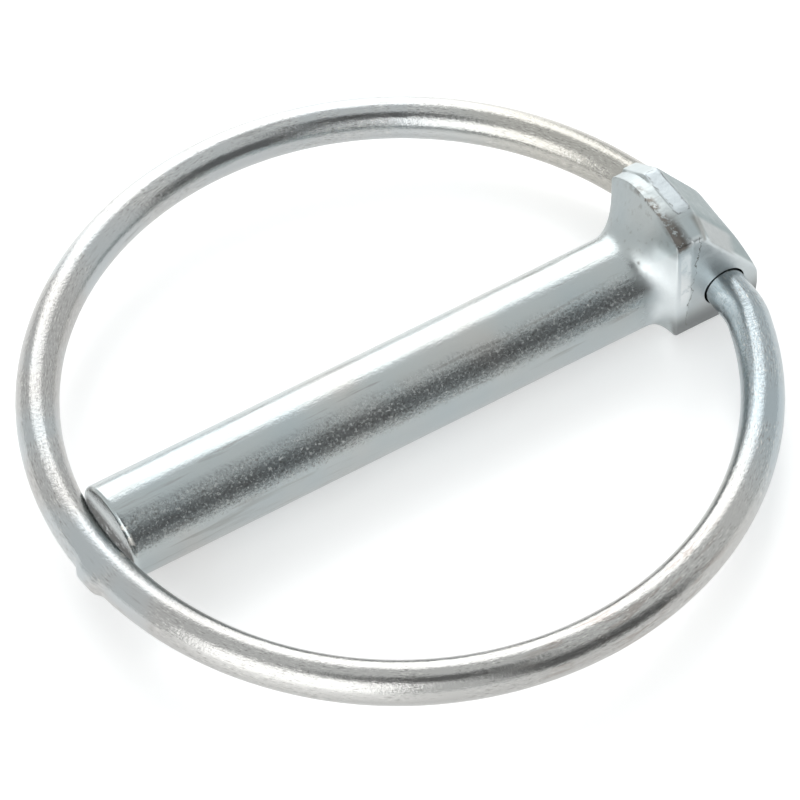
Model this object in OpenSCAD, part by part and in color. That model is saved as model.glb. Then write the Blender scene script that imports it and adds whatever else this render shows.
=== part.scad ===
// Lynch pin: a forged steel pin with a humped head, and a sprung wire ring that swings in the cross bore
// of the head and closes round the pin's tip.
// The pin lies along X, its tip at +X and its head at -X, with Z up and the hump of the head on top.
// The origin is on the shank's axis, where the straight shank meets the flare of the neck.

/* [Shank] */
// Diameter of the straight shank
shank_d = 8; // [6:0.5:12]
// Length of the straight shank, from the neck to the end of the tip
shank_length = 45.4; // [36:0.1:70]
// Bevel round the end of the tip
tip_bevel = 0.4; // [0.2:0.1:1]

/* [Neck and collar] */
// Length of the flare that opens from the shank to the collar
neck_length = 3.2; // [2.5:0.1:5]
// How far the arched top of the collar stands out from the shank
collar_rise = 3.9; // [3.3:0.1:5.5]
// Thickness of the collar's rim along the pin
collar_rim = 1.25; // [0.8:0.05:1.6]

/* [Head] */
// How far the cheek on the +Y side stands out from the side of the shank
near_cheek_step = 0.15; // [0.1:0.05:1]
// How far the cheek on the -Y side stands out from the side of the shank
far_cheek_step = 2; // [0.3:0.1:2.4]
// How far the flat underside of the head lies below the shank
underside_step = 0.3; // [0.2:0.1:1]
// Bevel along the lower edges of the head
underside_bevel = 0.5; // [0.3:0.1:1.5]
// How far the flat pad on top of the head stands above the shank
pad_rise = 3.75; // [3:0.05:5.5]
// Width of the pad across the head
pad_width = 4.8; // [3:0.1:5.2]
// How far the middle of the pad lies towards the -Y side
pad_shift = 0.55; // [0:0.05:0.8]
// Breadth of the pad along the pin, from the collar's rim to the sloping back
pad_breadth = 1.35; // [0.8:0.05:1.6]
// Drop of the bevel from the pad down to the +Y cheek
near_bevel_drop = 0.85; // [0.5:0.05:2]
// Drop of the bevel from the pad down to the -Y cheek
far_bevel_drop = 2.3; // [0.8:0.1:3]
// Depth of the bevel along the sloping back on the +Y cheek
near_back_bevel = 0.9; // [0.5:0.1:1.4]
// Depth of the bevel along the sloping back on the -Y cheek
far_back_bevel = 1.4; // [0.5:0.1:1.8]
// Radius of the curve that runs from the sloping back down over the nose
nose_curve = 8.4; // [7:0.1:12]
// How far the furthest point of the nose lies below the shank's axis
nose_drop = 1.6; // [0.5:0.1:2.5]
// Distance from the front of the collar back to the cross bore
bore_setback = 4.2; // [3.8:0.05:4.6]
// How far the cross bore lies below the shank's axis
bore_drop = 0.4; // [0:0.05:1]
// Metal between the cross bore and the furthest point of the nose, along the pin
nose_wall = 1.35; // [1.1:0.05:2.5]
// Widening of the mouths of the cross bore
bore_mouth = 0.1; // [0.05:0.05:0.4]

/* [Ring] */
// Diameter of the ring's wire
wire_d = 3.5; // [2.5:0.1:4.5]
// Radius of the two bends beside the head, to the middle of the wire
bend_radius = 6; // [4.5:0.5:9]
// Straight wire between the -Y cheek and the bend beside it
leg_straight = 0.55; // [0.5:0.05:3]
// Straight wire between each bend and the round of the ring
bend_lead = 1; // [0.5:0.1:3]
// Gap inside the head between the two ends of the wire
leg_gap = 1.6; // [0.8:0.1:2.4]
// Angle of the closed ring above the shank's axis
ring_lift = 2.1; // [0:0.05:4]
// Length of the pressed lug on the ring, along the wire
lug_length = 3.8; // [2.5:0.1:6]
// How far the lug stands out from the wire
lug_rise = 0.4; // [0.2:0.05:0.8]
// How far the middle line of the lug lies outside that of the wire
lug_offset = 0.5; // [0.4:0.05:0.8]
// Angle of the lug from the tip, seen from the ring's centre
lug_angle = 7.5; // [0:0.5:20]

/* [Fits] */
// Clearance round the wire in the cross bore
bore_clearance = 0.1; // [0.05:0.01:0.1]
// Gap between the tip and the closed ring
tip_gap = 0.5; // [0.4:0.05:1]

/* [Hidden] */
$fn = 64;
overrun = 1;

// Wire and cross bore
wire_r = wire_d / 2;
bore_r = wire_r + bore_clearance;

// Shank and head, measured from the shank's axis
shank_r = shank_d / 2;
near_y = shank_r + near_cheek_step;
far_y = shank_r + far_cheek_step;
underside_z = -(shank_r + underside_step);
collar_r = shank_r + collar_rise;
pad_z = shank_r + pad_rise;
pad_near_y = pad_width / 2 - pad_shift;
pad_far_y = pad_width / 2 + pad_shift;

// Places along the pin
rim_x = -neck_length;
rim_back_x = rim_x - collar_rim;
pad_back_x = rim_back_x - pad_breadth;
bore_x = rim_x - bore_setback;
nose_x = bore_x - bore_r - nose_wall;

// The sloping back runs from the pad and meets the curve of the nose at a tangent
pad_corner = [pad_back_x, pad_z];
nose_centre = [nose_x + nose_curve, -nose_drop];
pad_away = pad_corner - nose_centre;
tangent_angle = atan2(pad_away.y, pad_away.x) + acos(nose_curve / norm(pad_away));
back_foot = nose_centre + nose_curve * [cos(tangent_angle), sin(tangent_angle)];
back_run = pad_corner - back_foot;
back_angle = atan2(back_run.y, back_run.x);
back_length = norm(back_run);

// Neck: the flare opens as a power of the way along it, from the shank's outline to the collar's.
// It stays inside both outlines by a hair and runs into the solids behind them.
neck_curve = 2;
neck_rings = 6;
neck_inset = 0.05;
neck_start_r = shank_r - neck_inset;
outline_corners = [
    -90,
    atan2(underside_z, near_y - underside_bevel),
    atan2(underside_z + underside_bevel, near_y),
    acos(near_y / collar_r),
    90,
    180 - acos(far_y / collar_r),
    180 + atan2(-underside_z - underside_bevel, far_y),
    180 + atan2(-underside_z, far_y - underside_bevel),
    270
];
corner_steps = [3, 1, 7, 5, 5, 7, 1, 4];
neck_angles = [
    for (i = [0 : len(corner_steps) - 1], k = [0 : corner_steps[i] - 1])
        outline_corners[i] + (outline_corners[i + 1] - outline_corners[i]) * k / corner_steps[i]
];

// Ring: a round hoop with a bend at each end that turns the wire straight across into the bore.
// Its radius follows from the reach between the bore and the tip.
// Bent wire is a hair thinner than straight wire, and each straight laps the bent wire next to it.
bend_thinning = 0.02;
bend_lap = 0.3;
bent_wire_r = wire_r - bend_thinning;
leg_y = far_y + leg_straight;
ring_reach = shank_length - bore_x + tip_gap + wire_r - 2 * bend_radius;
bend_offset = (pow(ring_reach, 2) + pow(leg_y, 2) - pow(bend_lead, 2)) / (2 * ring_reach);
ring_r = bend_offset + bend_radius;
bend_angle = asin(leg_y / norm([bend_offset, bend_lead])) + atan2(bend_lead, bend_offset);
ring_centre_x = ring_reach - bend_offset + bend_radius;

// Lug: a spindle whose middle line lies outside the wire's, so that only the outside of the ring swells
ring_outer_r = ring_r + wire_r;
lug_r = wire_r + lug_rise - lug_offset;
lug_height = lug_rise + pow(lug_length / 2, 2) / (2 * ring_outer_r);
lug_curve = (pow(lug_length / 2, 2) + pow(lug_height, 2)) / (2 * lug_height);

// Distance from the shank's axis to the collar's outline at an angle
function within(limit, part) = part > 0 ? limit / part : collar_r;
function collar_reach(a) =
    let (
        cheek = cos(a) > 0 ? near_y : far_y,
        across = abs(cos(a)),
        down = max(0, -sin(a)),
        corner = cheek - underside_z - underside_bevel
    )
    min(
        collar_r,
        within(cheek, across),
        within(-underside_z, down),
        down > 0 ? corner / (across + down) : collar_r
    );

function neck_point(a, way, shift) =
    let (r = neck_start_r + (collar_reach(a) - neck_inset - neck_start_r) * pow(way, neck_curve))
    [rim_x * way - shift, r * cos(a), r * sin(a)];

// Turns an outline drawn as seen along the pin, so that it is extruded along X
module along_pin() {
    rotate([90, 0, 90]) children();
}

// Turns an outline drawn as seen from the side, so that it is extruded along Y
module across_pin() {
    rotate([90, 0, 0]) children();
}

// Outline of the head seen along the pin: its lower half, closed by a given set of upper points
module head_outline(upper) {
    polygon(concat(
        [
            [-far_y, underside_z + underside_bevel],
            [underside_bevel - far_y, underside_z],
            [near_y - underside_bevel, underside_z],
            [near_y, underside_z + underside_bevel]
        ],
        upper
    ));
}

module collar() {
    translate([rim_back_x, 0, 0]) along_pin() linear_extrude(collar_rim) intersection() {
        circle(collar_r);
        head_outline([[near_y, collar_r], [-far_y, collar_r]]);
    }
}

module head_front() {
    length = rim_back_x + neck_inset - nose_x;
    translate([nose_x, 0, 0]) along_pin() linear_extrude(length) head_outline([
        [near_y, pad_z - near_bevel_drop],
        [pad_near_y, pad_z],
        [-pad_far_y, pad_z],
        [-far_y, pad_z - far_bevel_drop]
    ]);
}

// Outline of the head seen from the side: the pad, the sloping back, and the curve of the nose below them
module head_side_outline() {
    polygon([[rim_x, underside_z], [rim_x, pad_z], pad_corner, back_foot]);
    intersection() {
        translate(nose_centre) circle(nose_curve);
        polygon([
            [rim_x, underside_z],
            [rim_x, back_foot.y],
            [nose_x - overrun, back_foot.y],
            [nose_x - overrun, underside_z + underside_bevel + overrun],
            [nose_x + underside_bevel, underside_z]
        ]);
    }
}

module head_side() {
    translate([0, near_y, 0]) across_pin() linear_extrude(near_y + far_y) head_side_outline();
}

// Wedge that bevels the sloping back from an edge of it down to a cheek, on the +Y side
module back_bevel(edge, cheek, depth) {
    width = cheek - edge;
    translate([back_foot.x, 0, back_foot.y]) rotate([0, -back_angle, 0])
        along_pin() linear_extrude(2 * back_length, center = true) polygon([
            [cheek + overrun, overrun],
            [edge - overrun * width / depth, overrun],
            [cheek + overrun, -depth - overrun * depth / width]
        ]);
}

module head() {
    difference() {
        intersection() {
            head_front();
            head_side();
        }
        back_bevel(pad_near_y, near_y, near_back_bevel);
        mirror([0, 1, 0]) back_bevel(pad_far_y, far_y, far_back_bevel);
    }
}

// Flare of the neck, lofted from the round shank to the collar's outline
module neck() {
    count = len(neck_angles);
    stages = concat([[0, -collar_rim / 2]], [for (i = [0 : neck_rings]) [i / neck_rings, neck_inset]],
        [[1, collar_rim / 2]]);
    points = [for (stage = stages, a = neck_angles) neck_point(a, stage[0], stage[1])];
    sides = [
        for (i = [0 : len(stages) - 2], k = [0 : count - 1])
            let (a = i * count + k, b = i * count + (k + 1) % count)
            each [[a, b, b + count], [a, b + count, a + count]]
    ];
    front_cap = [for (k = [count - 1 : -1 : 0]) k];
    back_cap = [for (k = [0 : count - 1]) (len(stages) - 1) * count + k];
    polyhedron(points, concat(sides, [front_cap, back_cap]));
}

module shank() {
    rotate([0, 90, 0]) rotate_extrude() polygon([
        [0, 0],
        [shank_r, 0],
        [shank_r, shank_length - tip_bevel],
        [shank_r - tip_bevel, shank_length],
        [0, shank_length]
    ]);
}

// Mouth of the cross bore in the cheek at a distance along the bore
module bore_mouth_cone(cheek) {
    translate([0, 0, cheek - 2 * bore_mouth])
        cylinder(h = 3 * bore_mouth, r1 = bore_r - bore_mouth, r2 = bore_r + 2 * bore_mouth);
}

module cross_bore() {
    translate([bore_x, 0, -bore_drop]) rotate([90, 0, 0]) {
        translate([0, 0, -near_y - overrun]) cylinder(h = near_y + far_y + 2 * overrun, r = bore_r);
        bore_mouth_cone(far_y);
        mirror([0, 0, 1]) bore_mouth_cone(near_y);
    }
}

module forged_pin() {
    color([0.46, 0.49, 0.5]) difference() {
        union() {
            shank();
            neck();
            collar();
            head();
        }
        cross_bore();
    }
}

// A length of the ring's wire bent to an arc about the local Z axis, starting on the local X axis
module wire_arc(radius, angle) {
    rotate_extrude(angle = angle) translate([radius, 0]) circle(bent_wire_r);
}

// A length of straight wire along the local -Y axis, from one place on it to another
module straight_wire(start, end) {
    translate([0, start, 0]) rotate([90, 0, 0]) cylinder(h = start - end, r = wire_r);
}

// One end of the ring, on its +Y side: the straight lead, the bend, and the leg that goes into the bore
module ring_end() {
    translate([bend_radius, leg_y, 0]) rotate([0, 0, 180 - bend_angle]) {
        translate([bend_radius, 0, 0]) straight_wire(bend_lap, -bend_lead - bend_lap);
        wire_arc(bend_radius, bend_angle);
    }
    straight_wire(leg_y + bend_lap, leg_gap / 2);
}

module lug() {
    rotate([0, 0, lug_angle]) translate([ring_r + lug_offset, 0, 0]) rotate([90, 0, 0])
        rotate_extrude() intersection() {
            translate([lug_r - lug_curve, 0]) circle(lug_curve);
            translate([0, -lug_curve]) square(2 * lug_curve);
        }
}

module spring_ring() {
    color([0.48, 0.5, 0.51]) translate([bore_x, 0, -bore_drop]) rotate([0, -ring_lift, 0]) {
        translate([ring_centre_x, 0, 0]) {
            rotate([0, 0, bend_angle - 180]) wire_arc(ring_r, 360 - 2 * bend_angle);
            lug();
        }
        ring_end();
        mirror([0, 1, 0]) ring_end();
    }
}

forged_pin();
spring_ring();
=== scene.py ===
# %% [markdown]
# A lynch pin
#
# A lynch pin locks a shaft or a hitch. It is a short forged steel pin with a sprung wire ring through
# its head, and the ring snaps round the tip so that the pin can't fall out. Both pieces are zinc plated.
# The packed CAD part is loaded first, because every piece below takes its place and its motion from it.

# %% Load the frame
import math

import bpy
import numpy as np
from mathutils import Euler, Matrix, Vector, noise


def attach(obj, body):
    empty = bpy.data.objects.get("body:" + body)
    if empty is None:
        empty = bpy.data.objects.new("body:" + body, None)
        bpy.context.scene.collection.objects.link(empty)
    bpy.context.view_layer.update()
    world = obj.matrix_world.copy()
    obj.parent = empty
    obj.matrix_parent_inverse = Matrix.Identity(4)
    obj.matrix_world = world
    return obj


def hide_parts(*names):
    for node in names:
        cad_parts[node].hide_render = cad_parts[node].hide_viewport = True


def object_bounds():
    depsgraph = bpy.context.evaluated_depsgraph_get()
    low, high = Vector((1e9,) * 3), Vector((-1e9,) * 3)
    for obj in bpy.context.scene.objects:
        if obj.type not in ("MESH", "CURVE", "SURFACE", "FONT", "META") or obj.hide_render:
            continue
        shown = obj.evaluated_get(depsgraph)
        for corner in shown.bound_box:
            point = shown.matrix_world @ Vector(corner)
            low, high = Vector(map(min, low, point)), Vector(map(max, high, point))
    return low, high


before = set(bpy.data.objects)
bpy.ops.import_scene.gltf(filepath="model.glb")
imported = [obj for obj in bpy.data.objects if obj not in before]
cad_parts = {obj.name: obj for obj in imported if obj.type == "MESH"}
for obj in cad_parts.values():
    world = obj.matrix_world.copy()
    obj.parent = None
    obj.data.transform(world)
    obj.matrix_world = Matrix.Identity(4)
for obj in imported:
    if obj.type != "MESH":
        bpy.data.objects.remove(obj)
cad_low, cad_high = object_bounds()
MM = 0.001
print("CAD box in mm:", [round((b - a) / MM, 2) for a, b in zip(cad_low, cad_high)])

# %% [markdown]
# The camera
#
# The ring is round, so its outline in the photograph tells where the camera stood. A long lens far away
# and a short lens close by give different ovals. The fit asked for a lens of about 210 mm at 37 cm.

# %% Camera
camera_data = bpy.data.cameras.new("camera")
camera_data.lens = 210.546
camera_data.sensor_width = 36
camera_data.shift_y = -0.01925
camera_data.clip_start = 0.01
camera = bpy.data.objects.new("camera", camera_data)
camera.location = (0.12267, 0.19658, 0.286256)
camera.rotation_euler = Euler([math.radians(a) for a in (37.8089, 2.2858, 149.3891)])
bpy.context.scene.collection.objects.link(camera)
bpy.context.scene.camera = camera
bpy.context.scene.view_settings.view_transform = "Standard"
print("camera distance in mm:", round(camera.location.length / MM, 1))

# %% [markdown]
# Three small helpers
#
# Every material below starts from an empty node tree, and every operator needs a clean selection, so
# both steps are written once. One more helper tells the rays that see the ground, from the camera or in
# a reflection, from the rays that light it. A ground that glows for the first kind alone looks white and
# adds no light.

# %% Node helpers
def new_material(name):
    material = bpy.data.materials.new(name)
    material.use_nodes = True
    material.node_tree.nodes.clear()
    return material, material.node_tree.nodes, material.node_tree.links


def background_rays(nodes, links):
    path = nodes.new("ShaderNodeLightPath")
    first = nodes.new("ShaderNodeMath")
    first.operation = "MAXIMUM"
    links.new(path.outputs["Is Camera Ray"], first.inputs[0])
    links.new(path.outputs["Is Glossy Ray"], first.inputs[1])
    second = nodes.new("ShaderNodeMath")
    second.operation = "MAXIMUM"
    links.new(first.outputs[0], second.inputs[0])
    links.new(path.outputs["Is Transmission Ray"], second.inputs[1])
    return second.outputs[0]


def deselect_all():
    if bpy.context.object and bpy.context.object.mode != "OBJECT":
        bpy.ops.object.mode_set(mode="OBJECT")
    bpy.ops.object.select_all(action="DESELECT")


print("helpers ready in Blender", bpy.app.version_string)

# %% [markdown]
# The table
#
# The pin lies on a white table with a slight sheen. The table is stage, not object: it catches a soft
# shadow and gives the underside of the metal something pale to reflect. A part of its white is glow, so
# that the shadow stays light.

# %% Table
TABLE_WHITE = (0.77, 0.77, 0.77, 1)
TABLE_GLOW = 0.39
table_z = cad_low[2]
deselect_all()
bpy.ops.mesh.primitive_plane_add(size=8, location=(0, 0, table_z))
table = bpy.context.object
table.name = "table"
white, nodes, links = new_material("white_table")
matte = nodes.new("ShaderNodeBsdfPrincipled")
matte.inputs["Base Color"].default_value = TABLE_WHITE
matte.inputs["Roughness"].default_value = 0.36
matte.inputs["IOR"].default_value = 2.4
glow = nodes.new("ShaderNodeEmission")
glow.inputs["Color"].default_value = (1, 1, 1, 1)
lift = nodes.new("ShaderNodeMath")
lift.operation = "MULTIPLY"
lift.inputs[1].default_value = TABLE_GLOW
links.new(background_rays(nodes, links), lift.inputs[0])
links.new(lift.outputs[0], glow.inputs["Strength"])
both = nodes.new("ShaderNodeAddShader")
links.new(matte.outputs[0], both.inputs[0])
links.new(glow.outputs[0], both.inputs[1])
output = nodes.new("ShaderNodeOutputMaterial")
links.new(both.outputs[0], output.inputs["Surface"])
table.data.materials.append(white)
print("table at z =", round(table_z / MM, 2), "mm")

# %% [markdown]
# The room
#
# Polished metal has no look of its own: it shows the room. Each bright or dark patch on the ring says
# what stands in one direction, and read together they give pale walls, a bright window behind and a
# second one beyond the tip. The windows could be planes that glow, but area lamps give less noise.

# %% Room
ROOM_REACH = 0.6
AIM = Vector((0.015, 0, 0))
world = bpy.data.worlds.new("room")
bpy.context.scene.world = world
world.use_nodes = True
backdrop = world.node_tree.nodes["Background"]
backdrop.inputs["Color"].default_value = (0.97, 1, 1, 1)
backdrop.inputs["Strength"].default_value = 0.86


def toward(azimuth, elevation):
    # A direction from the object: azimuth from +X towards +Y, elevation above the table.
    a, e = math.radians(azimuth), math.radians(elevation)
    return Vector((math.cos(e) * math.cos(a), math.cos(e) * math.sin(a), math.sin(e)))


def soft_panel(name, direction, size, radiance):
    # A lamp's power spreads over its face, so radiance times pi times area gives the power to set.
    data = bpy.data.lights.new(name, "AREA")
    data.shape = "RECTANGLE"
    data.size, data.size_y = size
    data.energy = radiance * math.pi * size[0] * size[1]
    lamp = bpy.data.objects.new(name, data)
    lamp.location = direction * ROOM_REACH
    aim = AIM - lamp.location
    lamp.rotation_euler = aim.to_track_quat("-Z", "Y").to_euler()
    lamp.visible_camera = False
    bpy.context.scene.collection.objects.link(lamp)
    print(name, "power", round(data.energy, 2), "W")


soft_panel("back_window", toward(-108, 23), (0.48, 0.7), 1.6)
soft_panel("side_window", toward(31, 21), (0.52, 0.68), 1.45)

# %% [markdown]
# The dark shapes
#
# The dark line along the shank shows something dark on the camera's side of the room, and a smaller dark
# patch on the ring shows something dark higher up. Two grey cards stand in those directions. Without
# them the metal would look like chalk.

# %% Dark cards
shade, nodes, links = new_material("dark_card")
matte = nodes.new("ShaderNodeBsdfDiffuse")
matte.inputs["Color"].default_value = (0.2, 0.2, 0.202, 1)
output = nodes.new("ShaderNodeOutputMaterial")
links.new(matte.outputs[0], output.inputs["Surface"])


def dark_card(name, direction, width, height):
    deselect_all()
    bpy.ops.mesh.primitive_plane_add(size=1, location=direction * ROOM_REACH)
    card = bpy.context.object
    card.name = name
    card.scale = (width, height, 1)
    card.rotation_euler = direction.to_track_quat("Z", "Y").to_euler()
    card.visible_camera = False
    card.data.materials.append(shade)
    half_span = math.degrees(math.atan(height / 2 / ROOM_REACH))
    print(name, "spans", round(2 * half_span), "degrees from foot to top")


dark_card("near_shade", toward(110, 26), 0.52, 0.46)
dark_card("upper_shade", toward(72, 64), 0.34, 0.34)

# %% [markdown]
# A rubber sheet
#
# Both pieces are shaped like bent and swollen tubes, so both start as a flat grid. Each row of the grid
# becomes one ring round the piece. The two long edges then meet and are merged, and the end rows shrink
# to a point. A grid wrapped this way has tidy rows of faces, and its UV map runs along and round the piece.

# %% Sheet helpers
MERGE = 0.000002


def flat_sheet(name, rows, columns):
    deselect_all()
    bpy.ops.mesh.primitive_grid_add(x_subdivisions=rows, y_subdivisions=columns, size=1, calc_uvs=True)
    piece = bpy.context.object
    piece.name = piece.data.name = name
    flat = np.empty(len(piece.data.vertices) * 3)
    piece.data.vertices.foreach_get("co", flat)
    flat = flat.reshape(-1, 3)
    row = np.rint((flat[:, 0] + 0.5) * rows).astype(int)
    column = np.rint((flat[:, 1] + 0.5) * columns).astype(int)
    return piece, row, column


def wrap_sheet(piece, row, column, places):
    # places holds a point in millimetres for every row and column.
    piece.data.vertices.foreach_set("co", (places[row, column] * MM).ravel())
    piece.data.update()
    deselect_all()
    piece.select_set(True)
    bpy.context.view_layer.objects.active = piece
    bpy.ops.object.mode_set(mode="EDIT")
    bpy.ops.mesh.select_all(action="SELECT")
    bpy.ops.mesh.remove_doubles(threshold=MERGE)
    bpy.ops.mesh.normals_make_consistent(inside=False)
    bpy.ops.object.mode_set(mode="OBJECT")
    print(piece.name, "faces:", len(piece.data.polygons))


print("doubles merge within", MERGE / MM, "mm")

# %% [markdown]
# Soft edges and lumps
#
# Forged steel has no sharp edge and no true flat. A soft maximum joins two faces with a rounded edge, and
# smooth noise gives the shallow lumps. A bevel modifier could round the edges too, but it needs clean
# edges to work on, and this surface is found point by point.

# %% Shape helpers
def soft_max(values, width):
    # The largest of several values, with a rounded change from one to the next.
    top = np.max(values, axis=0)
    return top + width * np.log(sum(np.exp((v - top) / width) for v in values))


def ripple(points, grain, seed):
    # Smooth noise between -1 and 1 at points in millimetres, with lumps about one grain across.
    shape = points.shape[:-1]
    flat = points.reshape(-1, 3) / grain + seed
    return np.array([noise.noise(Vector(p)) for p in flat]).reshape(shape)


sample = np.array(1.0)
print("a soft maximum of 1 and 1:", round(float(soft_max([sample, sample], 0.07)), 3))

# %% [markdown]
# The measures of the pin
#
# The pin is one forging. A round shank flares out into an arched collar, and behind it is a humped head
# with two flat cheeks, a struck pad on top, a sloping back and a round nose. Everything is in
# millimetres from the place on the shank's axis where the flare begins.

# %% Pin measures
SHANK_R, SHANK_END, TIP_BEVEL = 4.0, 45.4, 0.34
RIM_X, RIM_BACK_X, RIM_LEAN = -3.2, -4.45, 0.045
NEAR_Y, FAR_Y, UNDER_Z, LOW_BEVEL = 4.4, 6.0, -4.29, 0.5
ARCH_R, ARCH_Y, ARCH_Z, TOP_Z = 7.9, 0.2, 0.1, 7.88
PAD_BACK_X, PAD_Z, PAD_NEAR_Y, PAD_FAR_Y = -5.8, 7.75, 1.85, 2.95
# How far the bevels beside the pad and beside the back drop on the +Y and -Y sides.
PAD_NEAR_DROP, PAD_FAR_DROP, BACK_NEAR_DROP, BACK_FAR_DROP = 0.85, 2.3, 0.9, 1.4
NOSE_X, NOSE_R, NOSE_Z = -10.59, 8.4, -1.6
BORE_X, BORE_Z, BORE_R = -7.4, -0.4, 1.85
# How round the edges are.
COLLAR_ROUND, HEAD_ROUND, NECK_ROUND = 0.07, 0.055, 0.05
# How slowly the flare opens, and how much slower on the +Y side.
FLARE_POWER, FLARE_LATE = 2.2, 2.4
print("length of the pin in mm:", round(SHANK_END - NOSE_X, 2))

# %% [markdown]
# The slope of the back
#
# The sloping back runs off the pad and just touches the curve of the nose. A line that touches a circle
# is a tangent, so the slope is worked out and not guessed, and it stays right when the nose changes.

# %% Back slope
nose_x = NOSE_X + NOSE_R
away = np.array([PAD_BACK_X - nose_x, PAD_Z - NOSE_Z])
tangent = math.atan2(away[1], away[0]) + math.acos(NOSE_R / np.hypot(*away))
foot_x, foot_z = nose_x + NOSE_R * math.cos(tangent), NOSE_Z + NOSE_R * math.sin(tangent)
slope = math.atan2(PAD_Z - foot_z, PAD_BACK_X - foot_x)
print("slope of the back in degrees:", round(math.degrees(slope), 1))

# %% [markdown]
# The faces of the pin
#
# Each face is written as a distance: below nought inside the metal, above nought outside it. Written this
# way, faces can be joined, cut and rounded with plain sums. The lower faces, the cheeks and the
# underside, are shared by the collar and the head.

# %% Pin faces
CORNER = 0.5 ** 0.5


def outside_line(u, v, a, b):
    # Distance outside the line from a to b, with the metal below it.
    run, rise = b[0] - a[0], b[1] - a[1]
    length = math.hypot(run, rise) * math.copysign(1, run)
    return ((v - a[1]) * run - (u - a[0]) * rise) / length


def lower_faces(y, z):
    return [
        y - NEAR_Y,
        -y - FAR_Y,
        UNDER_Z - z,
        (y - z - NEAR_Y + UNDER_Z + LOW_BEVEL) * CORNER,
        (-y - z - FAR_Y + UNDER_Z + LOW_BEVEL) * CORNER,
    ]


def arch(y, z):
    return np.hypot(y - ARCH_Y, z - ARCH_Z) - ARCH_R


arch_end = ARCH_Z + math.sqrt(ARCH_R ** 2 - (NEAR_Y - ARCH_Y) ** 2)
print("the arch meets the +Y cheek at z =", round(arch_end, 2), "mm")

# %% [markdown]
# How far the collar reaches
#
# The neck swells from the shank's radius to the collar's outline, so it needs that outline as a radius at
# every angle. A ray is cut in half again and again, and each time the half that holds the surface is
# kept. After 32 cuts the radius is exact for every purpose here.

# %% Collar reach
RAY, CUTS = 14.0, 32


def reach_of_collar(count):
    around = np.linspace(-math.pi, math.pi, count)
    inner, outer = np.zeros(count), np.full(count, RAY)
    for step in range(CUTS):
        half = (inner + outer) / 2
        y, z = half * np.cos(around), half * np.sin(around)
        out = np.max(lower_faces(y, z) + [arch(y, z), z - TOP_Z], axis=0) > 0
        inner, outer = np.where(out, inner, half), np.where(out, half, outer)
    return around, inner


reach_angle, reach_length = reach_of_collar(1440)
print("collar reaches from", round(reach_length.min(), 2), "to", round(reach_length.max(), 2), "mm")

# %% [markdown]
# The head and the flare
#
# The head is a soft maximum of its faces: the lower ones, the pad with a bevel on each side, the back
# with a bevel on each side, the nose, and a small bevel under the nose. The flare is a radius that grows
# along the neck. It opens late on the +Y side, and its rim leans a little.

# %% Head and flare
def head_outside(x, y, z, lower):
    back = (z - PAD_Z) * math.cos(slope) - (x - PAD_BACK_X) * math.sin(slope)
    up_slope = (x - foot_x) * math.cos(slope) + (z - foot_z) * math.sin(slope)
    nose = np.where(up_slope > 0, back, np.hypot(x - nose_x, z - NOSE_Z) - NOSE_R)
    return soft_max(lower + [
        z - PAD_Z,
        outside_line(y, z, (PAD_NEAR_Y, PAD_Z), (NEAR_Y, PAD_Z - PAD_NEAR_DROP)),
        outside_line(y, z, (-FAR_Y, PAD_Z - PAD_FAR_DROP), (-PAD_FAR_Y, PAD_Z)),
        nose,
        outside_line(y, back, (PAD_NEAR_Y, 0), (NEAR_Y, -BACK_NEAR_DROP)),
        outside_line(y, back, (-FAR_Y, -BACK_FAR_DROP), (-PAD_FAR_Y, 0)),
        (NOSE_X + LOW_BEVEL - x + UNDER_Z - z) * CORNER,
        x - RIM_BACK_X,
    ], HEAD_ROUND)


def flare_radius(x, y, z):
    angle = np.arctan2(z, y)
    way = np.clip(x / (RIM_X + RIM_LEAN * y), 0, 2)
    late = FLARE_POWER + FLARE_LATE * np.maximum(np.cos(angle + 0.1), 0) ** 1.5
    return SHANK_R + (np.interp(angle, reach_angle, reach_length) - SHANK_R) * way ** late


zero = np.array(0.0)
print("flare on top at half way:", round(float(flare_radius(zero + RIM_X / 2, zero, zero + 6)), 2), "mm")

# %% [markdown]
# The whole pin as one distance
#
# The collar is a soft maximum too. Joining it to the head takes a soft minimum, which is a soft maximum
# with every sign turned round. The flare then trims them both in front of the rim.

# %% Pin distance
def pin_outside(x, y, z):
    lower = lower_faces(y, z)
    collar = soft_max(lower + [arch(y, z), z - TOP_Z, RIM_BACK_X - x], COLLAR_ROUND)
    head = head_outside(x, y, z, lower)
    body = -soft_max([-collar, -head], COLLAR_ROUND)
    return soft_max([body, np.hypot(y, z) - flare_radius(x, y, z)], NECK_ROUND)


print("distance inside the head:", round(float(pin_outside(zero - 7, zero, zero)), 2), "mm")

# %% [markdown]
# Rows along the pin
#
# The shank and the small round bevel at its tip are plain circles, so their rows only need a place and a
# radius. The rows of the neck and head are set closer, and closest where the shape turns: at the rim, the
# pad and the nose.

# %% Pin rows
COLUMNS = 352
# How far the plain rows of the shank keep from the tip and from the neck.
TIP_ROOM, NECK_ROOM = 0.45, 0.06
cap = [(SHANK_END, SHANK_R * share) for share in (0, 0.3, 0.6, 0.8, 0.9)]
turns = np.linspace(0, math.pi / 2, 9)
bevel = [
    (SHANK_END - TIP_BEVEL * (1 - math.cos(a)), SHANK_R - TIP_BEVEL * (1 - math.sin(a))) for a in turns]
straight = [(x, SHANK_R) for x in np.linspace(SHANK_END - TIP_ROOM, NECK_ROOM, 58)]
rounds = cap + bevel + straight
stops = [0, RIM_X + 0.3, RIM_X - 0.2, RIM_BACK_X + 0.15, PAD_BACK_X - 0.4]
counts = [30, 14, 10, 24]
spans = [np.linspace(a, b, count, endpoint=False) for a, b, count in zip(stops, stops[1:], counts)]
to_nose = NOSE_X + (stops[-1] - NOSE_X) * np.linspace(1, 0.015, 52) ** 2
shaped = np.concatenate(spans + [to_nose])
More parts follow.
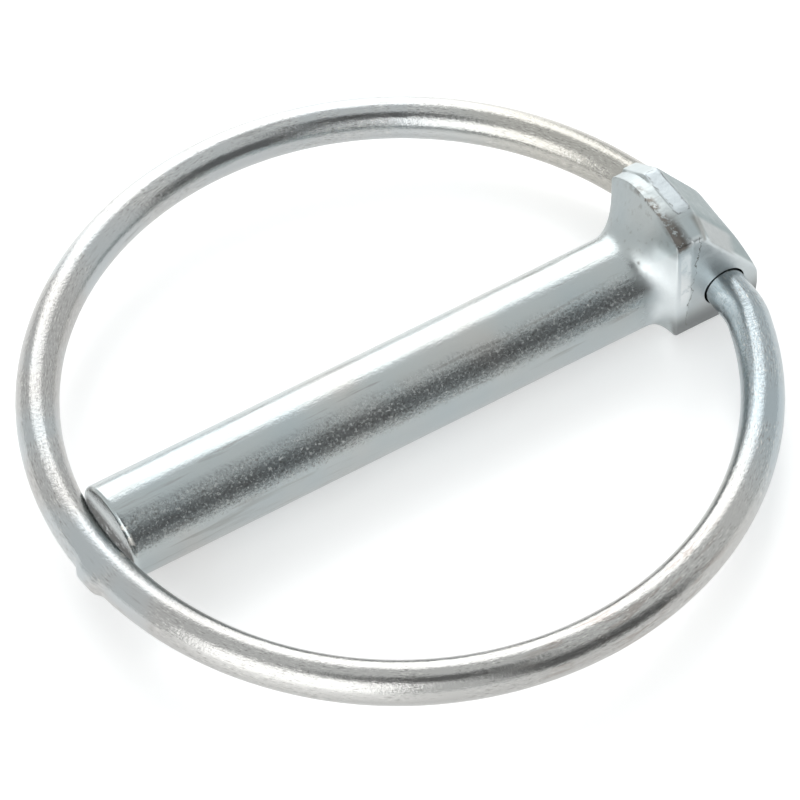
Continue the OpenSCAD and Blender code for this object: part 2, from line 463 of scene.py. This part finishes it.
angles = np.linspace(-math.pi / 2, 1.5 * math.pi, COLUMNS + 1)
round_x = np.array([r[0] for r in rounds])[:, None]
round_r = np.array([r[1] for r in rounds])[:, None]
across = np.broadcast_to(round_x, (len(rounds), COLUMNS + 1))
round_rows = np.stack([across, round_r * np.cos(angles), round_r * np.sin(angles)], axis=2)
print("round rows:", len(rounds), "shaped rows:", len(shaped))

# %% [markdown]
# The surface of the neck and head
#
# A ray leaves the middle of each row at every angle, and cutting it in half again and again finds where it
# leaves the metal. The middle moves with the row, because the head is off centre and its nose is low.

# %% Pin surface
x = np.broadcast_to(shaped[:, None], (len(shaped), COLUMNS + 1))
back_way = np.clip((RIM_BACK_X - x) / (RIM_BACK_X - NOSE_X), 0, 1)
head_y = (NEAR_Y - FAR_Y) / 2
middle_y, middle_z = back_way * head_y, back_way * NOSE_Z
inner, outer = np.zeros_like(x), np.full_like(x, RAY)
for step in range(CUTS):
    half = (inner + outer) / 2
    out = pin_outside(x, middle_y + half * np.cos(angles), middle_z + half * np.sin(angles)) > 0
    inner, outer = np.where(out, inner, half), np.where(out, half, outer)
shaped_rows = np.stack([x, middle_y + inner * np.cos(angles), middle_z + inner * np.sin(angles)], axis=2)
nose_tip = np.broadcast_to(np.array([NOSE_X + 0.001, head_y, NOSE_Z]), (1, COLUMNS + 1, 3))
rows = np.concatenate([round_rows, shaped_rows, nose_tip])
print("highest point of the head in mm:", round(shaped_rows[:, :, 2].max(), 2))

# %% [markdown]
# The sheared tip
#
# The bar was sheared off a little out of square, so its end is shorter on the +Y side. The rows near the
# tip slide back by an amount that grows with y, and the slide fades out a little way along the shank.

# %% Sheared tip
SHEAR_SLOPE, SHEAR_START, SHEAR_FADE = 0.05, 1.3, 0.8
near_end = np.clip((rows[:, :, 0] - SHANK_END + SHEAR_START) / SHEAR_FADE, 0, 1)
rows[:, :, 0] -= SHEAR_SLOPE * (rows[:, :, 1] + SHANK_R) * near_end
tip_face = rows[:len(cap), :, 0]
print("tip's face lies between x =", round(tip_face.min(), 2), "and", round(tip_face.max(), 2), "mm")

# %% [markdown]
# Forging marks
#
# Hammered steel is never quite flat: there are shallow lumps over the head, a torn band on the rim where
# the flash was cut, and faint dents in the shank. Each mark goes inward only, so that the piece doesn't
# grow past its CAD solid. A displace modifier would do it too, but here each mark has its own region.

# %% Pin forging marks
axis = rows.copy()
axis[:, :, 1:] = 0
axis[len(rounds):-1, :, 1], axis[len(rounds):-1, :, 2] = middle_y, middle_z
outward = rows - axis
length = np.linalg.norm(outward, axis=2, keepdims=True)
outward = outward / np.maximum(length, 1e-6)


def mark(depth, grain, seed, region):
    # Smooth noise of one depth and grain, never above the surface, in one region.
    return depth * (ripple(rows, grain, seed) - 1) * region


RIM_HALF = 0.55
rim_place = (rows[:, :, 0] - (RIM_X + RIM_BACK_X) / 2) / RIM_HALF
rim_region = np.exp(-rim_place ** 4) * np.clip((rows[:, :, 2] - 3) / 3, 0, 1)
head_region = np.clip(-rows[:, :, 0] / 3, 0, 1)
shank_region = np.clip((rows[:, :, 0] - 0.3) / 2 + 1, 0, 1)
lumps = mark(0.035, 3.1, 7.3, head_region)
torn = mark(0.04, 0.7, 3.1, rim_region)
dents = mark(0.012, 1.3, 11.9, shank_region)
change = (lumps + torn + dents)[:, :, None]
print("deepest mark in mm:", round(float(-change.min()), 3))

# %% [markdown]
# The pin as a sheet
#
# The marks are pressed in along each row's outward direction. The tip's face is left plain, and the last
# row, which shrinks to a point, moves as one. Then the flat sheet is wrapped on these places.

# %% Pin sheet
change[:len(cap) + 1] = 0
change[-1] = change[-2].min()
rows = rows + outward * change
rows[:, -1] = rows[:, 0]
pin, row, column = flat_sheet("pin", len(rows) - 1, COLUMNS)
wrap_sheet(pin, row, column, rows)

# %% [markdown]
# The cross bore
#
# A hole is drilled across the head after forging, and the ring's two legs turn in it. A cylinder is
# turned on its side and cut away with a boolean, which leaves the crisp edge that a drill leaves.

# %% Cross bore
DRILL_LENGTH, DRILL_Y = 20, -0.9
SMOOTH_BELOW = math.radians(38)
deselect_all()
bpy.ops.mesh.primitive_cylinder_add(vertices=128, radius=BORE_R * MM, depth=DRILL_LENGTH * MM)
drill = bpy.context.object
bpy.ops.transform.rotate(value=math.pi / 2, orient_axis="X", center_override=(0, 0, 0))
bpy.ops.transform.translate(value=(BORE_X * MM, DRILL_Y * MM, BORE_Z * MM))
bpy.ops.object.transform_apply(location=True, rotation=True, scale=True)
deselect_all()
pin.select_set(True)
bpy.context.view_layer.objects.active = pin
cut = pin.modifiers.new("bore", "BOOLEAN")
cut.operation = "DIFFERENCE"
cut.object = drill
cut.solver = "EXACT"
bpy.ops.object.modifier_apply(modifier="bore")
bpy.data.objects.remove(drill)
bpy.ops.object.shade_smooth_by_angle(angle=SMOOTH_BELOW)
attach(pin, "pin")
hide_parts("forged_pin")
print("pin triangles:", sum(len(p.vertices) - 2 for p in pin.data.polygons))

# %% [markdown]
# The measures of the ring
#
# The ring is one length of drawn wire, wound round and turned inward at both ends to go into the head's
# bore. Its middle line is a leg, a bend, a short straight and a hoop, and then the same again mirrored.
# The hoop has to pass the tip and meet the straights smoothly, and those two demands give its radius.

# %% Ring measures
WIRE_R, BEND_R, LEG_Y, LEG_END, LEAD = 1.725, 6.0, 6.55, 0.8, 1.0
PAST_TIP = 2.25
LIFT = math.radians(2.1)
reach = SHANK_END - BORE_X + PAST_TIP - 2 * BEND_R
offset = (reach ** 2 + LEG_Y ** 2 - LEAD ** 2) / (2 * reach)
ring_r = offset + BEND_R
ring_x = reach - offset + BEND_R
turn = math.asin(LEG_Y / math.hypot(offset, LEAD)) + math.atan2(LEAD, offset)
leg, bend, hoop = LEG_Y - LEG_END, BEND_R * turn, ring_r * (math.pi - turn)
half_length = leg + bend + LEAD + hoop
print("ring radius", round(ring_r, 2), "mm, wire length", round(2 * half_length, 1), "mm")

# %% [markdown]
# The path of the ring
#
# A walk along the wire gives a place and a direction at any distance from the end of a leg. A curve object
# with a round bevel could follow the same line, but a walk leaves room to swell the wire at the lug.

# %% Ring path
def arc_point(middle_u, middle_v, radius, a):
    # A place on an arc and the direction of the walk there, from a large angle to a small one.
    place = (middle_u + radius * math.cos(a), middle_v + radius * math.sin(a))
    return place, (math.sin(a), -math.cos(a))


def half_path(s):
    # The +Y half of the wire, from the end of the leg to the tip.
    if s < leg:
        return (0, LEG_END + s), (0, 1)
    if s < leg + bend:
        return arc_point(BEND_R, LEG_Y, BEND_R, math.pi - (s - leg) / BEND_R)
    if s < leg + bend + LEAD:
        (u, v), (du, dv) = arc_point(BEND_R, LEG_Y, BEND_R, math.pi - turn)
        d = s - leg - bend
        return (u + d * du, v + d * dv), (du, dv)
    return arc_point(ring_x, 0, ring_r, math.pi - turn - (s - leg - bend - LEAD) / ring_r)


def ring_path(s):
    if s <= half_length:
        return half_path(s)
    (u, v), (du, dv) = half_path(2 * half_length - s)
    return (u, -v), (-du, dv)


print("the wire passes the tip at", round(ring_path(half_length)[0][0], 2), "mm from the bore")

# %% [markdown]
# The surface of the ring
#
# Each row is a circle square to the middle line. Near the tip the wire has a small lug, pressed out of its
# outer side a little below the middle, so there the circle swells on that side with a short rise at each
# end.

# %% Ring surface
RING_ROWS, RING_COLUMNS = 640, 48
LUG_HEIGHT, LUG_HALF, LUG_RISE, LUG_LOW, LUG_SPREAD = 0.38, 1.6, 0.8, 0.24, 0.56
LUG_PLACE = half_length - math.radians(7.5) * ring_r
round_angles = np.linspace(math.pi, 3 * math.pi, RING_COLUMNS + 1)
low_side = (round_angles + LUG_LOW + math.pi) % (2 * math.pi) - math.pi
ring_rows = []
for s in np.linspace(0, 2 * half_length, RING_ROWS + 1):
    (u, v), (du, dv) = ring_path(s)
    beyond = min(1, max(0, (LUG_HALF - abs(s - LUG_PLACE)) / LUG_RISE))
    swell = LUG_HEIGHT * beyond * beyond * (3 - 2 * beyond)
    r = WIRE_R + swell * np.exp(-(low_side / LUG_SPREAD) ** 2)
    # The outward side of the wire is to the left of its direction on this walk.
    sideways = r * np.cos(round_angles)
    ring_rows.append(np.stack([u - dv * sideways, v + du * sideways, r * np.sin(round_angles)], axis=1))
ring_rows = np.array(ring_rows)
first, last = [np.broadcast_to(e.mean(axis=0), (1, RING_COLUMNS + 1, 3)) for e in ring_rows[[0, -1]]]
ring_rows = np.concatenate([first, ring_rows, last])
ring_rows[:, -1] = ring_rows[:, 0]
print("ring rows:", len(ring_rows), "thickest radius in mm:", round(WIRE_R + LUG_HEIGHT, 2))

# %% [markdown]
# The ring in its place
#
# The ring rests with the side by the tip a little raised, so the whole sheet tilts about the bore by two
# degrees. Then it is wrapped like the pin's and rides the ring's own body, which swings in the bore.

# %% Ring in place
cos_lift, sin_lift = math.cos(LIFT), math.sin(LIFT)
lifted = np.stack([
    BORE_X + ring_rows[:, :, 0] * cos_lift - ring_rows[:, :, 2] * sin_lift,
    ring_rows[:, :, 1],
    BORE_Z + ring_rows[:, :, 0] * sin_lift + ring_rows[:, :, 2] * cos_lift], axis=2)
ring, row, column = flat_sheet("ring", RING_ROWS + 2, RING_COLUMNS)
wrap_sheet(ring, row, column, lifted)
bpy.ops.object.shade_smooth_by_angle(angle=SMOOTH_BELOW)
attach(ring, "ring")
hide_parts("spring_ring")
print("ring triangles:", sum(len(p.vertices) - 2 for p in ring.data.polygons))

# %% [markdown]
# A plate under construction
#
# Zinc plate is a bright metal with many small faults. Each fault is a mask, nought where it isn't and one
# where it is, and masks multiply. This class holds one material while it is built, and its methods make
# the masks. By hand, node groups would be the way to share them. In a script, methods read better.

# %% Plate masks
class PlateMasks:
    def __init__(self, name):
        self.material, self.nodes, self.links = new_material(name)
        self.place = self.nodes.new("ShaderNodeTexCoord")
        split = self.nodes.new("ShaderNodeSeparateXYZ")
        self.links.new(self.place.outputs["Object"], split.inputs[0])
        self.axis = dict(zip("xyz", split.outputs))
        self.normal = None

    def stretched(self, source, scale):
        node = self.nodes.new("ShaderNodeMapping")
        self.links.new(self.place.outputs[source], node.inputs["Vector"])
        node.inputs["Scale"].default_value = scale
        return node.outputs["Vector"]

    def noise(self, scale, detail, rough, vector=None):
        node = self.nodes.new("ShaderNodeTexNoise")
        node.inputs["Scale"].default_value = scale
        node.inputs["Detail"].default_value = detail
        node.inputs["Roughness"].default_value = rough
        self.links.new(self.place.outputs["Object"] if vector is None else vector, node.inputs["Vector"])
        return node.outputs["Fac"]

    def calc(self, operation, *values):
        # Sockets are linked, and numbers are set on the node itself.
        node = self.nodes.new("ShaderNodeMath")
        node.operation = operation
        for socket, value in zip(node.inputs, values):
            if isinstance(value, (int, float)):
                socket.default_value = value
            else:
                self.links.new(value, socket)
        return node.outputs[0]

    def times(self, *values):
        result = values[0]
        for value in values[1:]:
            result = self.calc("MULTIPLY", result, value)
        return result

    def ranged(self, value, low, high, start, end, kind="LINEAR"):
        node = self.nodes.new("ShaderNodeMapRange")
        node.interpolation_type = kind
        for name, number in (("From Min", low), ("From Max", high), ("To Min", start), ("To Max", end)):
            node.inputs[name].default_value = number
        self.links.new(value, node.inputs["Value"])
        return node.outputs["Result"]

    def step(self, value, low, high):
        # Nought at the first value and one at the second, with a smooth change between.
        if low < high:
            return self.ranged(value, low, high, 0, 1, "SMOOTHSTEP")
        return self.ranged(value, high, low, 1, 0, "SMOOTHSTEP")

    def zone(self, *sides):
        # A soft box. Each side is an axis and two places in millimetres, where it begins and is full.
        return self.times(*[self.step(self.axis[axis], low * MM, high * MM) for axis, low, high in sides])


print("mask methods:", [m for m in vars(PlateMasks) if not m.startswith("_")])

# %% [markdown]
# What a mask does
#
# A mask can paint a tint, make the metal duller, or push its surface in and out. The tint, roughness and
# normal reached so far are kept on the plate, so each new fault lies over the earlier ones, as dirt lies
# over plating.

# %% Plate layers
class Plate(PlateMasks):
    def ramp(self, value, stops):
        node = self.nodes.new("ShaderNodeValToRGB")
        while len(node.color_ramp.elements) < len(stops):
            node.color_ramp.elements.new(0.5)
        for element, (place, color) in zip(node.color_ramp.elements, stops):
            element.position = place
            element.color = (*color, 1)
        self.links.new(value, node.inputs["Fac"])
        return node.outputs["Color"]

    def paint(self, mask, color):
        node = self.nodes.new("ShaderNodeMix")
        node.data_type = "RGBA"
        self.links.new(mask, node.inputs["Factor"])
        self.links.new(self.tint, node.inputs["A"])
        node.inputs["B"].default_value = (*color, 1)
        self.tint = node.outputs["Result"]

    def roughen(self, mask, amount):
        self.roughness = self.calc("ADD", self.roughness, self.calc("MULTIPLY", mask, amount))

    def emboss(self, height, depth):
        node = self.nodes.new("ShaderNodeBump")
        node.inputs["Strength"].default_value = 1
        node.inputs["Distance"].default_value = depth * MM
        self.links.new(height, node.inputs["Height"])
        if self.normal is not None:
            self.links.new(self.normal, node.inputs["Normal"])
        self.normal = node.outputs["Normal"]


print("layer methods:", [m for m in vars(Plate) if not m.startswith("_")])

# %% [markdown]
# The bare plate
#
# Zinc on drawn steel has a fine grain, streaks along the drawing direction and cloudy tints. The pin's
# streaks run along x. The wire's streaks follow its UV map, whose first direction runs along the wire
# round every bend.

# %% Bare plates
GRAIN_DEPTH = 0.022
OLD_SCRATCH = (0.29, 0.29, 0.28)


def bare_plate(name, streaks, streak_depth, stops, shine):
    plate = Plate(name)
    plate.cloud = plate.noise(130, 2, 0.5)
    plate.streak = plate.noise(1, 4, 0.6, plate.stretched(*streaks))
    plate.tint = plate.ramp(plate.cloud, stops)
    plate.paint(plate.times(plate.step(plate.streak, 0.44, 0.3), plate.cloud), OLD_SCRATCH)
    plate.roughness = plate.ranged(plate.streak, 0.3, 0.7, *shine)
    plate.emboss(plate.noise(3600, 4, 0.65), GRAIN_DEPTH)
    plate.emboss(plate.streak, streak_depth)
    print(name, "nodes:", len(plate.nodes))
    return plate


forging = bare_plate(
    "plated_forging", ("Object", (120, 1700, 1700)), 0.01,
    [(0.3, (0.435, 0.485, 0.5)), (0.55, (0.47, 0.5, 0.5)), (0.75, (0.495, 0.495, 0.48))], (0.13, 0.26))
wire = bare_plate(
    "plated_wire", ("UV", (40, 16, 1)), 0.014,
    [(0.3, (0.47, 0.495, 0.505)), (0.55, (0.5, 0.508, 0.508)), (0.75, (0.52, 0.508, 0.49))], (0.09, 0.2))

# %% [markdown]
# The skin of the head and the pits of the shank
#
# The head keeps its forged skin, which is duller than the drawn bar of the shank. Along the upper +Y side
# of the shank runs a band of fine pits. Some flecks are painted bright as glints from the pits, and others
# hold dirt and look dark.

# %% Skin and pits
PIT_GLINT_PAINT, DARK_PIT = (0.62, 0.63, 0.62), (0.24, 0.24, 0.23)
forging.roughen(forging.zone(("x", 0.8, -1.8)), 0.2)
fleck = forging.noise(4300, 4, 0.7)
band = forging.zone(("y", 1.5, 2.3), ("z", 0.9, 1.6), ("x", -0.9, 1.4))
bright = forging.times(band, forging.step(fleck, 0.53, 0.7))
forging.roughen(bright, 0.42)
forging.emboss(forging.times(band, fleck), 0.018)
# The bright flecks are painted glints. The pits' roughness and bump are real.
forging.paint(bright, PIT_GLINT_PAINT)
forging.paint(forging.times(band, forging.step(fleck, 0.48, 0.32)), DARK_PIT)
print("nodes after the pits:", len(forging.nodes))

# %% [markdown]
# The faces of the head
#
# The pad is clean, a tone of its own. The +Y cheek is painted pale above as a reflection and painted darker
# at its foot as shade, and the ridge where the flare meets it carries a painted highlight. The edge of the
# ridge wanders with a slow noise.

# %% Head tones
CLEAN_PAD, CHEEK_PAINTED_LIGHT = (0.46, 0.5, 0.52), (0.6, 0.64, 0.65)
FOOT_PAINTED_SHADE, RIDGE_PAINTED_HIGHLIGHT = (0.26, 0.27, 0.27), (0.8, 0.84, 0.85)
pad = forging.zone(
    ("z", PAD_Z - 0.15, PAD_Z - 0.07), ("x", RIM_BACK_X, RIM_BACK_X - 0.15),
    ("y", PAD_NEAR_Y + 0.2, PAD_NEAR_Y))
forging.paint(pad, CLEAN_PAD)
# The pale upper cheek is a painted reflection.
cheek = forging.zone(("y", NEAR_Y - 0.5, NEAR_Y - 0.2), ("x", RIM_X + 0.3, RIM_X - 0.1), ("z", -3.2, 1.2))
forging.paint(cheek, CHEEK_PAINTED_LIGHT)
# The darker foot of the cheek is painted shade.
forging.paint(forging.zone(("y", NEAR_Y - 0.6, NEAR_Y - 0.2), ("z", -0.8, -3)), FOOT_PAINTED_SHADE)
edge = forging.calc("MULTIPLY_ADD", forging.noise(420, 2, 0.5), 1.6 * MM, forging.axis["x"])
# The bright ridge is a painted highlight.
ridge = forging.times(
    forging.zone(("y", 1.5, 2.9), ("z", 6.2, 5.2), ("z", -2.6, 0.2)),
    forging.step(edge, 0.6 * MM, -1.2 * MM),
    forging.step(edge, (RIM_X - 0.3) * MM, (RIM_X + 0.1) * MM))
forging.paint(ridge, RIDGE_PAINTED_HIGHLIGHT)
print("nodes after the cheek:", len(forging.nodes))

# %% [markdown]
# The back of the head
#
# The sloping back is painted a little darker than the rest as shade. Its +Y edge is painted lighter as
# light falling on it, and the bevel in front of that edge is painted darker as shade, so the facets read
# apart.

# %% Back tones
BACK_PAINTED_SHADE, EDGE_PAINTED_LIGHT, BEVEL_PAINTED_SHADE = (0.3, 0.35, 0.355), (0.45, 0.47, 0.47), (0.3, 0.31, 0.3)
# The darker back is painted shade.
back = forging.zone(("x", PAD_BACK_X, PAD_BACK_X - 0.3), ("y", NEAR_Y - 0.2, NEAR_Y - 0.6))
forging.paint(back, BACK_PAINTED_SHADE)
# The lighter +Y edge is painted light.
painted_edge_light = forging.zone(
    ("x", PAD_BACK_X - 0.1, PAD_BACK_X - 0.5), ("y", 2.2, 2.6), ("z", 2.2, 3.4),
    ("y", NEAR_Y - 0.02, NEAR_Y - 0.15))
forging.paint(painted_edge_light, EDGE_PAINTED_LIGHT)
# The darker bevel is painted shade.
painted_bevel_shade = forging.zone(
    ("x", PAD_BACK_X + 0.7, PAD_BACK_X + 0.2), ("x", PAD_BACK_X - 0.5, PAD_BACK_X - 0.2),
    ("y", 2.1, 2.7), ("z", 6.2, 6.6))
forging.paint(painted_bevel_shade, BEVEL_PAINTED_SHADE)
print("nodes after the back:", len(forging.nodes))

# %% [markdown]
# The outline of the pad
#
# Where the die struck the pad it left a thin broken outline. The distance to a rectangle is the larger of
# two simple distances, and a line is where that distance is near nought. Noise makes it waver and
# breaks it.

# %% Pad outline
OUTLINE_X, OUTLINE_Y, HALF_X, HALF_Y = -5.2, -0.5, 0.6, 2.4
STRUCK_LINE = (0.25, 0.26, 0.26)
patch = forging.noise(1500, 4, 0.7)
wander = forging.noise(900, 3, 0.6)
wave = forging.calc("MULTIPLY_ADD", wander, 0.8 * MM, -0.4 * MM)


def past_side(axis, middle, half):
    # How far a point is past the side of the rectangle along one axis.
    way = forging.calc("ABSOLUTE", forging.calc("SUBTRACT", forging.axis[axis], middle * MM))
    return forging.calc("SUBTRACT", way, half * MM)


past = forging.calc("MAXIMUM", past_side("y", OUTLINE_Y, HALF_Y), past_side("x", OUTLINE_X, HALF_X))
past = forging.calc("ABSOLUTE", forging.calc("ADD", past, wave))
outline = forging.times(
    forging.step(past, 0.1 * MM, 0.01 * MM), forging.zone(("z", PAD_Z - 0.45, PAD_Z - 0.25)),
    forging.step(patch, 0.4, 0.58))
forging.paint(outline, STRUCK_LINE)
print("nodes after the outline:", len(forging.nodes))

# %% [markdown]
# The torn rim
#
# The rim of the collar was torn when the flash was cut off. It is dark and stained brown at its +Y end and
# in flecks along its front edge. The strip of cheek next to it has a painted highlight in patches.

# %% Torn rim
STRIP_PAINTED_HIGHLIGHT, BROWN_STAIN, TORN_FLECK = (0.95, 0.97, 0.97), (0.12, 0.11, 0.1), (0.2, 0.185, 0.17)
strip = forging.zone(
    ("x", RIM_X - 0.05, RIM_X - 0.25), ("x", RIM_BACK_X + 0.05, RIM_BACK_X + 0.35),
    ("y", NEAR_Y - 0.3, NEAR_Y - 0.1), ("z", 6.2, 5.2), ("z", -1, 1.5))
# The bright patches on the strip are a painted highlight.
forging.paint(forging.times(strip, forging.step(patch, 0.34, 0.5)), STRIP_PAINTED_HIGHLIGHT)
stain = forging.zone(
    ("y", 0.8, 3), ("z", 6.2, 6.7), ("x", RIM_X + 0.3, RIM_X), ("x", RIM_BACK_X - 0.15, RIM_BACK_X + 0.75))
forging.paint(forging.times(stain, forging.step(patch, 0.33, 0.5)), BROWN_STAIN)
front_edge = forging.zone(
    ("x", RIM_X + 0.12, RIM_X), ("x", RIM_X - 0.75, RIM_X - 0.3), ("z", 6, 6.8), ("y", -4.6, 0))
forging.paint(forging.times(front_edge, forging.step(patch, 0.43, 0.56)), TORN_FLECK)
print("nodes after the rim:", len(forging.nodes))

# %% [markdown]
# The fold and the pit
#
# A fine fold runs down the +Y cheek where the dies lapped the steel over itself, leaning a little and
# wavering. One small pit sits high on the neck. Both are too fine to model, so they are drawn.

# %% Fold and pit
FOLD_X, FOLD_LEAN = 4.25, 0.125
PIT_PLACE = (-1.17 * MM, 1.69 * MM, 3.74 * MM)
FOLD_LINE, PIT_DARK = (0.2, 0.2, 0.19), (0.12, 0.115, 0.11)
line = forging.calc("MULTIPLY_ADD", forging.axis["z"], FOLD_LEAN, FOLD_X * MM)
line = forging.calc("ADD", line, forging.axis["x"])
line = forging.calc("ADD", line, forging.calc("MULTIPLY_ADD", wander, 1.1 * MM, -0.55 * MM))
fold = forging.times(
    forging.step(forging.calc("ABSOLUTE", line), 0.05 * MM, 0.01 * MM),
    forging.zone(("y", NEAR_Y - 0.3, NEAR_Y - 0.1)), forging.step(patch, 0.36, 0.52))
forging.paint(fold, FOLD_LINE)
apart = forging.nodes.new("ShaderNodeVectorMath")
apart.operation = "DISTANCE"
apart.inputs[1].default_value = PIT_PLACE
forging.links.new(forging.place.outputs["Object"], apart.inputs[0])
forging.paint(forging.step(apart.outputs["Value"], 0.26 * MM, 0.1 * MM), PIT_DARK)
print("nodes after the fold:", len(forging.nodes))

# %% [markdown]
# The tip
#
# The tip's face has painted shade where the ring passes close to it, and its +Y edge is worn, with a
# painted glint.
# The distance from the pin's axis tells the face from the edge.

# %% Tip marks
GAP_PAINTED_SHADE, WORN_EDGE_GLINT = (0.12, 0.117, 0.112), (0.9, 0.87, 0.82)
square_y = forging.times(forging.axis["y"], forging.axis["y"])
square_z = forging.times(forging.axis["z"], forging.axis["z"])
from_axis = forging.calc("SQRT", forging.calc("ADD", square_y, square_z))
# Painted shade on the tip's face, in the gap by the ring.
gap_shade = forging.times(
    forging.zone(("x", SHANK_END - 0.5, SHANK_END - 0.4), ("z", 2, 0.5)),
    forging.step(from_axis, (SHANK_R - 0.25) * MM, (SHANK_R - 0.7) * MM), forging.step(patch, 0.25, 0.5))
forging.paint(gap_shade, GAP_PAINTED_SHADE)
# A painted glint on the worn +Y edge of the tip. The extra roughness is real wear.
worn_glint = forging.times(
    forging.zone(("x", SHANK_END - 0.9, SHANK_END - 0.45), ("y", 1.4, 2.2), ("z", 0.8, 1.5)),
    forging.step(from_axis, (SHANK_R - 0.45) * MM, (SHANK_R - 0.3) * MM), forging.step(patch, 0.48, 0.56))
forging.paint(worn_glint, WORN_EDGE_GLINT)
forging.roughen(worn_glint, 0.4)
print("nodes after the tip:", len(forging.nodes))

# %% [markdown]
# The tones of the wire
#
# Handling leaves the wire with uneven tones: grime where it goes into the head on the -Y side, a warmer
# stretch by the lug and along the +Y side, and brown streaks on the part nearest the camera. The +Y leg is
# painted darker and bluer as a reflection of the cheek beside it.

# %% Wire tones
GRIME, WARM_LUG, WARM_SIDE = (0.46, 0.445, 0.41), (0.455, 0.445, 0.435), (0.485, 0.478, 0.465)
LEG_PAINTED_REFLECTION, BROWN_STREAK = (0.4, 0.45, 0.475), (0.4, 0.37, 0.35)
wire.paint(wire.zone(("y", -5, -9), ("x", 6, -3)), GRIME)
wire.paint(wire.times(wire.zone(("x", 30, 40)), wire.step(wire.cloud, 0.36, 0.56)), WARM_LUG)
wire.paint(wire.zone(("y", 8, 20)), WARM_SIDE)
# The darker, bluer leg is a painted reflection of the cheek.
wire.paint(wire.zone(("x", 5, -3), ("y", 2, 5)), LEG_PAINTED_REFLECTION)
brown = wire.zone(("y", 17, 22), ("x", 28, 22), ("x", 4, 10))
wire.paint(wire.times(brown, wire.step(wire.streak, 0.5, 0.62)), BROWN_STREAK)
print("nodes after the tones:", len(wire.nodes))

# %% [markdown]
# The flecks of the wire
#
# Drawing pulls every small fault out along the wire, so its flecks are short streaks. They are thicker in
# some patches than in others. In millimetres the mapping is finer round the wire than along it, and that
# gives the stretch.

# %% Wire flecks
BRIGHT_FLECK, DARK_FLECK = (0.62, 0.61, 0.58), (0.29, 0.28, 0.265)
fleck = wire.noise(1, 4, 0.7, wire.stretched("UV", (300, 96, 1)))
patchy = wire.step(wire.noise(260, 3, 0.6), 0.34, 0.58)
bright = wire.times(patchy, wire.step(fleck, 0.54, 0.66))
wire.roughen(bright, 0.12)
wire.emboss(wire.times(patchy, fleck), 0.009)
wire.paint(bright, BRIGHT_FLECK)
wire.paint(wire.times(patchy, wire.step(fleck, 0.47, 0.34)), DARK_FLECK)
print("nodes after the flecks:", len(wire.nodes))

# %% [markdown]
# Onto the metal
#
# One metal shader takes the tint, the roughness and the normal of each plate. Where the tip's face has
# painted shade, the metallic value drops, so that the painted shade stays dark.

# %% Finished plates
def finish_plate(plate, piece):
    metal = plate.nodes.new("ShaderNodeBsdfPrincipled")
    metal.inputs["Metallic"].default_value = 1
    metal.inputs["Specular IOR Level"].default_value = 0
    plate.links.new(plate.tint, metal.inputs["Base Color"])
    plate.links.new(plate.roughness, metal.inputs["Roughness"])
    plate.links.new(plate.normal, metal.inputs["Normal"])
    output = plate.nodes.new("ShaderNodeOutputMaterial")
    plate.links.new(metal.outputs[0], output.inputs["Surface"])
    piece.data.materials.append(plate.material)
    print(piece.name, "wears", plate.material.name)
    return metal


pin_metal = finish_plate(forging, pin)
# Less metallic where the gap shade is painted.
forging.links.new(forging.calc("MULTIPLY_ADD", gap_shade, -0.6, 1), pin_metal.inputs["Metallic"])
finish_plate(wire, ring)

# %% [markdown] The end of the script
